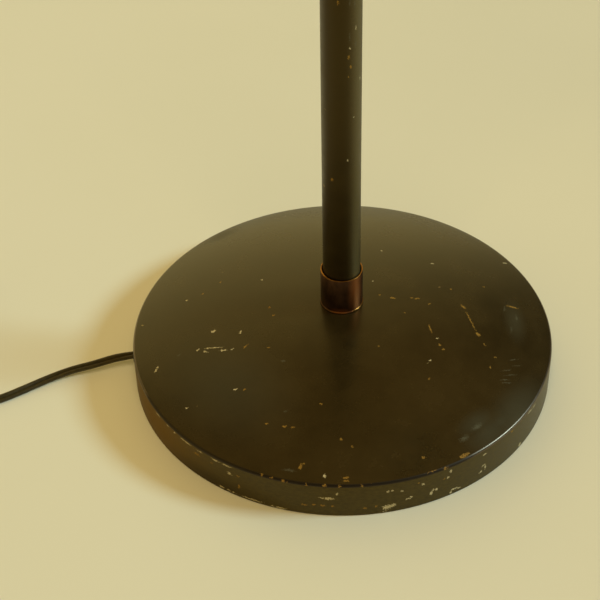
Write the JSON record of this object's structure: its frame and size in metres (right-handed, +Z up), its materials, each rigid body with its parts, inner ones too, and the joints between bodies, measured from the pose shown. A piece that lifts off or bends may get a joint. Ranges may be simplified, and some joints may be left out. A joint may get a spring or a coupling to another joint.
{
  "type": "swing-arm floor lamp",
  "caption": "Floor lamp with a weighted domed base, tubular stem, swinging arm and tilting dome shade with a turn switch; its flat mains cord ends in a coil and plug.",
  "frame": {"origin": "middle of the base's underside, on the floor", "axes": "+Z up along the stem, +X along the arm at rest, the mains cord leaves the base along -X"},
  "size_m": [0.7987, 0.292, 1.2436],
  "materials": {
    "black_lacquer": "aged semi-gloss lacquer",
    "copper": "lightly tarnished copper plate",
    "cast_iron": "rough casting",
    "felt": "matte felt",
    "steel": "plain zinc-plated",
    "brass": "plain turned brass",
    "fibre": "vulcanised fibre",
    "bakelite": "moulded black phenolic",
    "flex": "satin black vinyl",
    "frosted_glass": "inside-frosted"
  },
  "bodies": {
    "stand": {"felt_pad": "felt", "base_weight": "cast_iron", "base_cover": "black_lacquer", "cord_bushing": "bakelite", "tie_rod": "steel", "tie_rod_washer": "steel", "tie_rod_nut": "steel", "stem_foot": "steel", "stem_tube": "black_lacquer", "stem_ferrule": "copper", "stem_collar": "copper", "swivel_post": "brass", "swivel_washer": "fibre", "swivel_nut": "brass", "stand_flex": "flex", "cord_lead": "flex", "cord_coil": "flex", "cord_tail": "flex", "cord_tie": "flex", "plug_body": "flex", "plug_blades": "brass"},
    "arm": {"arm_hub": "black_lacquer", "stop_screw": "steel", "arm_hub_cap": "copper", "arm_tube": "black_lacquer", "arm_knuckle": "black_lacquer", "arm_flex": "flex"},
    "tilt_clamp": {"tilt_knob": "copper"},
    "head": {"head_knuckle": "black_lacquer", "shade_cup": "black_lacquer", "shade": "black_lacquer", "lampholder_cap": "brass", "lampholder_shell": "brass", "lampholder_liner": "fibre", "lampholder_body": "bakelite", "screw_shell": "brass", "centre_contact": "brass", "bulb_cap": "brass", "bulb_glass": "frosted_glass", "head_flex": "flex"},
    "switch": {"switch_key": "bakelite"}
  },
  "joints": [
    {"name": "arm_swing", "type": "hinge", "parent": "stand", "child": "arm", "pos_m": [0, 0, 1.2016], "axis": [0, 0, 1], "range_deg": [-160, 160]},
    {"name": "shade_tilt", "type": "hinge", "parent": "arm", "child": "head", "pos_m": [0.314, 0, 1.2225], "axis": [0, -1, 0], "range_deg": [-30, 100]},
    {"name": "clamp_turn", "type": "hinge", "parent": "arm", "child": "tilt_clamp", "pos_m": [0.314, -0.015, 1.2225], "axis": [0, -1, 0], "range_deg": [0, 270]},
    {"name": "switch_turn", "type": "hinge", "parent": "head", "child": "switch", "pos_m": [0.338, 0, 1.1665], "axis": [1, 0, 0], "continuous": true}
  ]
}
